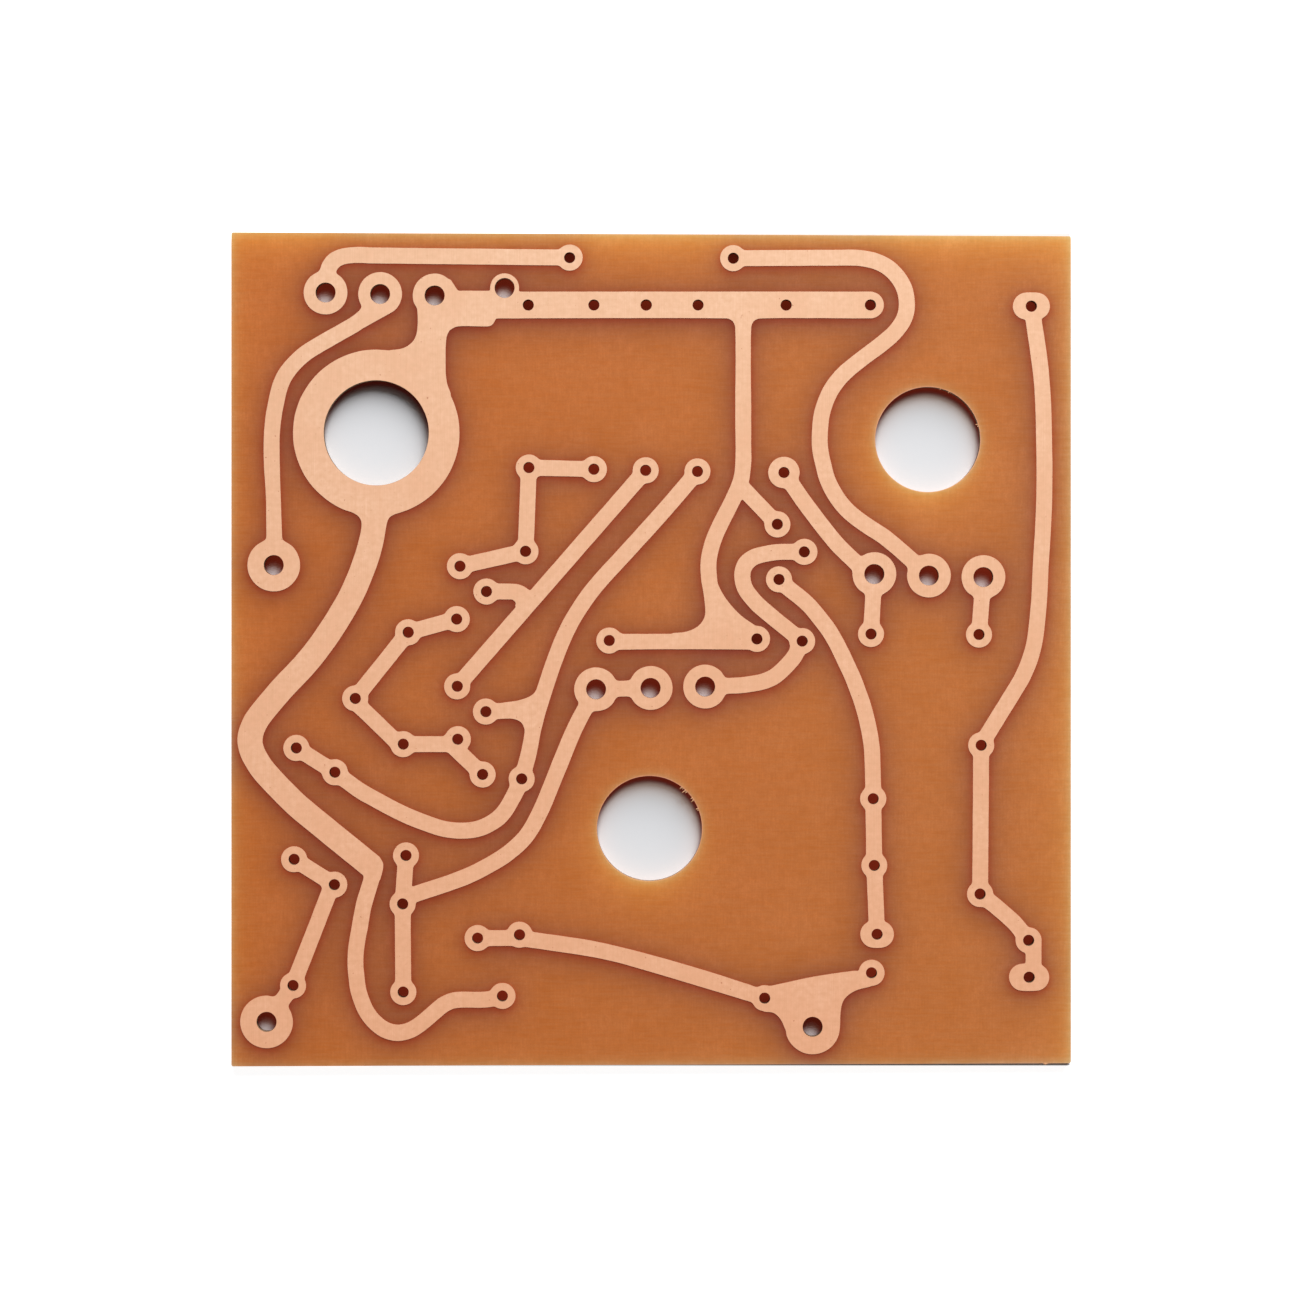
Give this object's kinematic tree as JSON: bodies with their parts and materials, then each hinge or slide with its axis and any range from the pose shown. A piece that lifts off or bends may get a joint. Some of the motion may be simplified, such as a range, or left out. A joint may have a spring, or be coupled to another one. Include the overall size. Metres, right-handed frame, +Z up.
{
  "type": "bare etched guitar pedal circuit board",
  "caption": "Flat amber laminate board with etched copper tracks and pads on one face, drilled for leads, terminals and control bushings.",
  "frame": {"origin": "middle of the board's underside", "axes": "+Z up out of the copper side, +X to the right and +Y to the top of the board as the picture shows it"},
  "size_m": [0.0762, 0.0756, 0.0016],
  "materials": {
    "phenolic_laminate": "amber phenolic paper laminate, satin pressed face",
    "copper_foil": "bare copper foil, fine brushed grain"
  },
  "bodies": {
    "root": {"laminate": "phenolic_laminate", "copper_bus_and_ring": "copper_foil", "copper_top_left_track": "copper_foil", "copper_left_track": "copper_foil", "copper_top_right_track": "copper_foil", "copper_right_track": "copper_foil", "copper_small_zigzag_track": "copper_foil", "copper_long_diagonal_track": "copper_foil", "copper_centre_sweep_track": "copper_foil", "copper_short_diagonal_track": "copper_foil", "copper_short_link": "copper_foil", "copper_hook_track": "copper_foil", "copper_right_sweep_track": "copper_foil", "copper_lower_sweep_track": "copper_foil", "copper_zigzag_track": "copper_foil", "copper_lower_left_track": "copper_foil", "copper_bottom_track": "copper_foil"}
  },
  "joints": []
}
